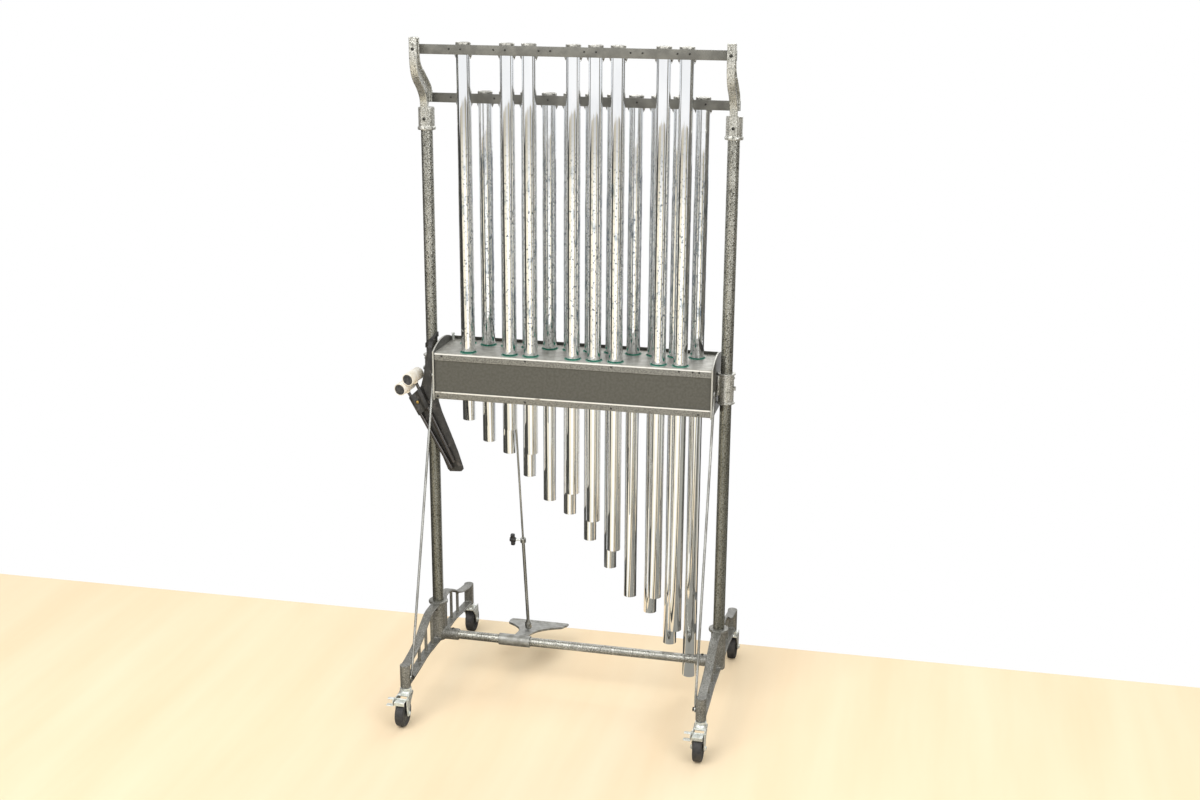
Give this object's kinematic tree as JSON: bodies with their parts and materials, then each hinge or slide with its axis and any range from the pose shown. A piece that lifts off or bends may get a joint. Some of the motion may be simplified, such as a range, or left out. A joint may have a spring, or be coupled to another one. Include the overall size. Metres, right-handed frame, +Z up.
{
  "type": "tubular bells",
  "caption": "Free-standing tubular bells: chromed tubes in a front and a rear row, hung on cords from flat rails, pedal damper box, cast legs on casters, mallets in a holster.",
  "frame": {"origin": "middle of the bounding box, on the floor under the wheels", "axes": "+Z up; +X along the rows, from the short tubes to the long tubes; +Y from the audience side to the player's side"},
  "size_m": [0.9431, 0.715, 1.85],
  "materials": {
    "hammertone": "silver-grey hammertone paint",
    "rail_paint": "matt mid-grey paint",
    "chrome": "polished, lightly pitted",
    "zinc": "bright zinc plate",
    "pedal_metal": "cast, grey",
    "panel": "textured dark warm grey",
    "plate": "worn light grey",
    "tyre": "satin black",
    "knob": "black",
    "holster": "black vinyl leather",
    "mallet": "cream"
  },
  "bodies": {
    "stand": {"post_left": "hammertone", "post_right": "hammertone", "leg_left": "hammertone", "leg_right": "hammertone", "top_bracket_left": "hammertone", "top_bracket_right": "hammertone", "crossbar": "hammertone", "rail_upper": "rail_paint", "rail_lower": "rail_paint", "stay_rod_left": "zinc", "stay_rod_right": "zinc", "box_end_left": "hammertone", "box_end_right": "hammertone", "box_clamp_left": "hammertone", "box_clamp_right": "hammertone", "box_top_plate": "plate", "box_bottom_plate": "plate", "box_front_panel": "panel", "box_rear_panel": "panel", "box_top_stud": "zinc", "mallet_holster": "holster"},
    "pedal": {"pedal": "pedal_metal"},
    "crosshead": {"damper_crosshead": "pedal_metal"},
    "damper_rod": {"pull_rod_upper": "zinc", "pull_rod_lower": "zinc"},
    "clamp_knob": {"clamp_knob": "knob"},
    "board_front": {"damper_board_front": "rail_paint"},
    "board_rear": {"damper_board_rear": "rail_paint"},
    "caster_front_left": {"caster_fork_front_left": "zinc"},
    "caster_front_right": {"caster_fork_front_right": "zinc"},
    "caster_rear_left": {"caster_fork_rear_left": "zinc"},
    "caster_rear_right": {"caster_fork_rear_right": "zinc"},
    "wheel_front_left": {"wheel_front_left": "tyre"},
    "wheel_front_right": {"wheel_front_right": "tyre"},
    "wheel_rear_left": {"wheel_rear_left": "tyre"},
    "wheel_rear_right": {"wheel_rear_right": "tyre"},
    "brake_left": {"brake_lever_left": "zinc"},
    "brake_right": {"brake_lever_right": "zinc"},
    "mallet_one": {"mallet_one": "mallet"},
    "mallet_two": {"mallet_two": "mallet"},
    "tube_g6": {"tube_g6": "chrome"},
    "tube_f6": {"tube_f6": "chrome"},
    "tube_e6": {"tube_e6": "chrome"},
    "tube_d6": {"tube_d6": "chrome"},
    "tube_c6": {"tube_c6": "chrome"},
    "tube_b5": {"tube_b5": "chrome"},
    "tube_a5": {"tube_a5": "chrome"},
    "tube_g5": {"tube_g5": "chrome"},
    "tube_f5": {"tube_f5": "chrome"},
    "tube_e5": {"tube_e5": "chrome"},
    "tube_d5": {"tube_d5": "chrome"},
    "tube_c5": {"tube_c5": "chrome"},
    "tube_f6_sharp": {"tube_f6_sharp": "chrome"},
    "tube_d6_sharp": {"tube_d6_sharp": "chrome"},
    "tube_c6_sharp": {"tube_c6_sharp": "chrome"},
    "tube_a5_sharp": {"tube_a5_sharp": "chrome"},
    "tube_g5_sharp": {"tube_g5_sharp": "chrome"},
    "tube_f5_sharp": {"tube_f5_sharp": "chrome"},
    "tube_d5_sharp": {"tube_d5_sharp": "chrome"},
    "tube_c5_sharp": {"tube_c5_sharp": "chrome"}
  },
  "joints": [
    {"name": "pedal_press", "type": "hinge", "parent": "stand", "child": "pedal", "pos_m": [-0.14934, 0, 0.136], "axis": [-1, 0, 0], "range_deg": [0, 9], "stiffness_Nm_per_rad": 12.7, "springref_deg": -18.05},
    {"name": "crosshead_slide", "type": "slide", "parent": "stand", "child": "crosshead", "axis": [0, 0, 1], "range_m": [-0.0225, 0]},
    {"name": "rod_lean", "type": "hinge", "parent": "crosshead", "child": "damper_rod", "pos_m": [-0.14934, 0.005, 0.93], "axis": [1, 0, 0], "range_deg": [-1, 0]},
    {"name": "board_front_swing", "type": "hinge", "parent": "stand", "child": "board_front", "pos_m": [0.03266, -0.0105, 0.99], "axis": [1, 0, 0], "range_deg": [0, 2.6]},
    {"name": "board_rear_swing", "type": "hinge", "parent": "stand", "child": "board_rear", "pos_m": [0.03266, 0.0205, 0.99], "axis": [-1, 0, 0], "range_deg": [0, 2.6]},
    {"name": "clamp_knob_turn", "type": "hinge", "parent": "damper_rod", "child": "clamp_knob", "pos_m": [-0.14934, 0.09617, 0.41095], "axis": [-1, 0, 0], "range_deg": [0, 270]},
    {"name": "caster_swivel_front_left", "type": "hinge", "parent": "stand", "child": "caster_front_left", "pos_m": [-0.38134, -0.292, 0.1], "axis": [0, 0, 1], "continuous": true},
    {"name": "caster_swivel_front_right", "type": "hinge", "parent": "stand", "child": "caster_front_right", "pos_m": [0.44666, -0.292, 0.1], "axis": [0, 0, 1], "continuous": true},
    {"name": "caster_swivel_rear_left", "type": "hinge", "parent": "stand", "child": "caster_rear_left", "pos_m": [-0.38134, 0.292, 0.1], "axis": [0, 0, 1], "continuous": true},
    {"name": "caster_swivel_rear_right", "type": "hinge", "parent": "stand", "child": "caster_rear_right", "pos_m": [0.44666, 0.292, 0.1], "axis": [0, 0, 1], "continuous": true},
    {"name": "wheel_roll_front_left", "type": "hinge", "parent": "caster_front_left", "child": "wheel_front_left", "pos_m": [-0.38134, -0.32, 0.0375], "axis": [1, 0, 0], "continuous": true},
    {"name": "wheel_roll_front_right", "type": "hinge", "parent": "caster_front_right", "child": "wheel_front_right", "pos_m": [0.44666, -0.32, 0.0375], "axis": [1, 0, 0], "continuous": true},
    {"name": "wheel_roll_rear_left", "type": "hinge", "parent": "caster_rear_left", "child": "wheel_rear_left", "pos_m": [-0.38134, 0.32, 0.0375], "axis": [1, 0, 0], "continuous": true},
    {"name": "wheel_roll_rear_right", "type": "hinge", "parent": "caster_rear_right", "child": "wheel_rear_right", "pos_m": [0.44666, 0.32, 0.0375], "axis": [1, 0, 0], "continuous": true},
    {"name": "brake_press_left", "type": "hinge", "parent": "caster_front_left", "child": "brake_left", "pos_m": [-0.38134, -0.325, 0.0805], "axis": [1, 0, 0], "range_deg": [0, 11]},
    {"name": "brake_press_right", "type": "hinge", "parent": "caster_front_right", "child": "brake_right", "pos_m": [0.44666, -0.325, 0.0805], "axis": [1, 0, 0], "range_deg": [0, 11]},
    {"name": "mallet_one_slide", "type": "slide", "parent": "stand", "child": "mallet_one", "axis": [-0.4265, 0, 0.9045], "range_m": [0, 0.28]},
    {"name": "mallet_two_slide", "type": "slide", "parent": "stand", "child": "mallet_two", "axis": [-0.4941, 0, 0.8694], "range_m": [0, 0.28]},
    {"name": "tube_g6_swing", "type": "hinge", "parent": "stand", "child": "tube_g6", "pos_m": [-0.29184, 0.052, 1.69], "axis": [1, 0, 0], "range_deg": [0, 0.1]},
    {"name": "tube_f6_swing", "type": "hinge", "parent": "stand", "child": "tube_f6", "pos_m": [-0.23284, 0.052, 1.69], "axis": [1, 0, 0], "range_deg": [0, 0.1]},
    {"name": "tube_e6_swing", "type": "hinge", "parent": "stand", "child": "tube_e6", "pos_m": [-0.17384, 0.052, 1.69], "axis": [1, 0, 0], "range_deg": [0, 0.1]},
    {"name": "tube_d6_swing", "type": "hinge", "parent": "stand", "child": "tube_d6", "pos_m": [-0.11484, 0.052, 1.69], "axis": [1, 0, 0], "range_deg": [0, 0.1]},
    {"name": "tube_c6_swing", "type": "hinge", "parent": "stand", "child": "tube_c6", "pos_m": [-0.05584, 0.052, 1.69], "axis": [1, 0, 0], "range_deg": [0, 0.1]},
    {"name": "tube_b5_swing", "type": "hinge", "parent": "stand", "child": "tube_b5", "pos_m": [0.00316, 0.052, 1.69], "axis": [1, 0, 0], "range_deg": [0, 0.1]},
    {"name": "tube_a5_swing", "type": "hinge", "parent": "stand", "child": "tube_a5", "pos_m": [0.06216, 0.052, 1.69], "axis": [1, 0, 0], "range_deg": [0, 0.1]},
    {"name": "tube_g5_swing", "type": "hinge", "parent": "stand", "child": "tube_g5", "pos_m": [0.12116, 0.052, 1.69], "axis": [1, 0, 0], "range_deg": [0, 0.1]},
    {"name": "tube_f5_swing", "type": "hinge", "parent": "stand", "child": "tube_f5", "pos_m": [0.18016, 0.052, 1.69], "axis": [1, 0, 0], "range_deg": [0, 0.1]},
    {"name": "tube_e5_swing", "type": "hinge", "parent": "stand", "child": "tube_e5", "pos_m": [0.23916, 0.052, 1.69], "axis": [1, 0, 0], "range_deg": [0, 0.1]},
    {"name": "tube_d5_swing", "type": "hinge", "parent": "stand", "child": "tube_d5", "pos_m": [0.29816, 0.052, 1.69], "axis": [1, 0, 0], "range_deg": [0, 0.1]},
    {"name": "tube_c5_swing", "type": "hinge", "parent": "stand", "child": "tube_c5", "pos_m": [0.35716, 0.052, 1.69], "axis": [1, 0, 0], "range_deg": [0, 0.1]},
    {"name": "tube_f6_sharp_swing", "type": "hinge", "parent": "stand", "child": "tube_f6_sharp", "pos_m": [-0.26234, -0.042, 1.822], "axis": [-1, 0, 0], "range_deg": [0, 0.1]},
    {"name": "tube_d6_sharp_swing", "type": "hinge", "parent": "stand", "child": "tube_d6_sharp", "pos_m": [-0.14434, -0.042, 1.822], "axis": [-1, 0, 0], "range_deg": [0, 0.1]},
    {"name": "tube_c6_sharp_swing", "type": "hinge", "parent": "stand", "child": "tube_c6_sharp", "pos_m": [-0.08534, -0.042, 1.822], "axis": [-1, 0, 0], "range_deg": [0, 0.1]},
    {"name": "tube_a5_sharp_swing", "type": "hinge", "parent": "stand", "child": "tube_a5_sharp", "pos_m": [0.03266, -0.042, 1.822], "axis": [-1, 0, 0], "range_deg": [0, 0.1]},
    {"name": "tube_g5_sharp_swing", "type": "hinge", "parent": "stand", "child": "tube_g5_sharp", "pos_m": [0.09166, -0.042, 1.822], "axis": [-1, 0, 0], "range_deg": [0, 0.1]},
    {"name": "tube_f5_sharp_swing", "type": "hinge", "parent": "stand", "child": "tube_f5_sharp", "pos_m": [0.15066, -0.042, 1.822], "axis": [-1, 0, 0], "range_deg": [0, 0.1]},
    {"name": "tube_d5_sharp_swing", "type": "hinge", "parent": "stand", "child": "tube_d5_sharp", "pos_m": [0.26866, -0.042, 1.822], "axis": [-1, 0, 0], "range_deg": [0, 0.1]},
    {"name": "tube_c5_sharp_swing", "type": "hinge", "parent": "stand", "child": "tube_c5_sharp", "pos_m": [0.32766, -0.042, 1.822], "axis": [-1, 0, 0], "range_deg": [0, 0.1]}
  ],
  "couplings": [
    {"joint": "crosshead_slide", "follows": "pedal_press", "m_per_rad": -0.1401},
    {"joint": "rod_lean", "follows": "pedal_press", "ratio": -0.042977},
    {"joint": "board_front_swing", "follows": "pedal_press", "ratio": 0.2778},
    {"joint": "board_rear_swing", "follows": "pedal_press", "ratio": 0.2778}
  ]
}
